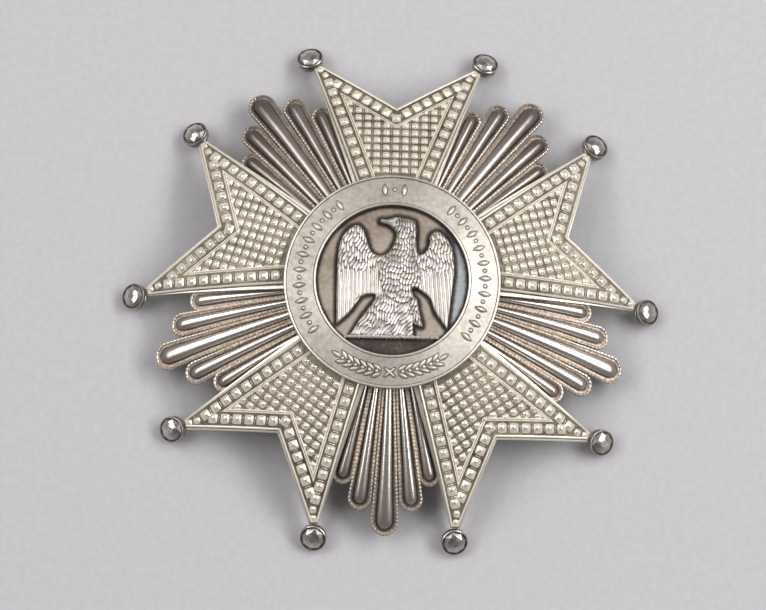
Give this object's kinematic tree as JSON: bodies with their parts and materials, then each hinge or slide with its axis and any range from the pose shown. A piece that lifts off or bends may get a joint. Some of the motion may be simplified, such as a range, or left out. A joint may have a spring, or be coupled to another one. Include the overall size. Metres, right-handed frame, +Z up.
{
  "type": "breast star",
  "caption": "Domed silver breast star: notched diamond-point arms with faceted tip buttons, fluted rays between them, and a round medallion with a raised eagle; a pin behind fastens it.",
  "frame": {"origin": "on the surface that the star lies on, under the middle of its medallion", "axes": "+Z up through the face, +Y along arm_1, the arm that is upright when worn"},
  "size_m": [0.0898, 0.0858, 0.0159],
  "materials": {
    "arm_silver": "worn bright silver, dark in the recesses",
    "ray_silver": "silver with brown tarnish between the flutes",
    "button_steel": "dark grey faceted metal",
    "band_silver": "satin silver",
    "field_dark": "dark oxidised metal",
    "eagle_silver": "bright frosted silver",
    "back_silver": "plain tarnished silver"
  },
  "bodies": {
    "root": {"arm_1": "arm_silver", "arm_2": "arm_silver", "arm_3": "arm_silver", "arm_4": "arm_silver", "arm_5": "arm_silver", "ray_bundle_1": "ray_silver", "ray_bundle_2": "ray_silver", "ray_bundle_3": "ray_silver", "ray_bundle_4": "ray_silver", "ray_bundle_5": "ray_silver", "tip_button_01": "button_steel", "tip_button_02": "button_steel", "tip_button_03": "button_steel", "tip_button_04": "button_steel", "tip_button_05": "button_steel", "tip_button_06": "button_steel", "tip_button_07": "button_steel", "tip_button_08": "button_steel", "tip_button_09": "button_steel", "tip_button_10": "button_steel", "back_disc": "back_silver", "medallion_band": "band_silver", "medallion_field": "field_dark", "eagle": "eagle_silver", "brooch_pin": "back_silver"}
  },
  "joints": []
}
